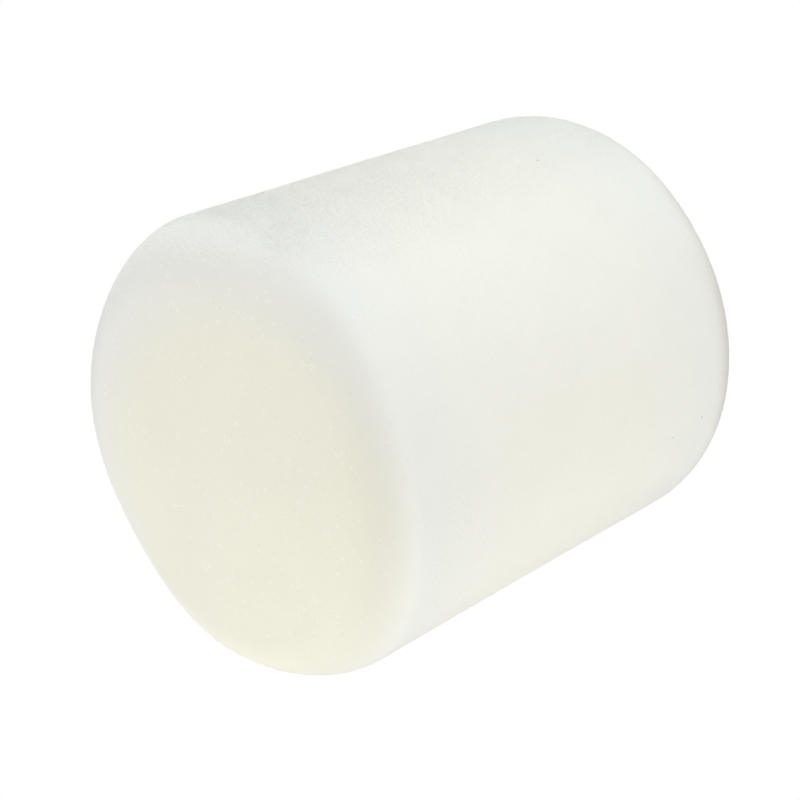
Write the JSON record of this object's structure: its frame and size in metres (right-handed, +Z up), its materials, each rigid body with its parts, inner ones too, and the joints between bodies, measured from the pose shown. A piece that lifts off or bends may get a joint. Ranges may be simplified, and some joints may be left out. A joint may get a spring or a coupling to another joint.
{
  "type": "foam massage roller",
  "caption": "Short soft foam massage roller: a solid off-white cylinder with flat ends and softly rounded rims, lying on its side.",
  "frame": {"origin": "on the floor, under the middle of the roller, at the bottom centre of its box", "axes": "+Y along the roller's axis towards its back end, +Z up, +X across it; the roller lies on its side on its rest flat"},
  "size_m": [0.15, 0.17, 0.1496],
  "materials": {
    "soft_foam": "soft open-cell foam with a fine pebbled grain, matt off-white",
    "cut_foam": "cut soft foam with tiny glinting cell walls, matt warm cream",
    "firm_foam": "firm closed-cell foam, matt off-white"
  },
  "bodies": {
    "root": {"core_rod": "firm_foam", "foam_sleeve": "soft_foam", "front_end_pad": "cut_foam", "back_end_pad": "cut_foam"}
  },
  "joints": []
}
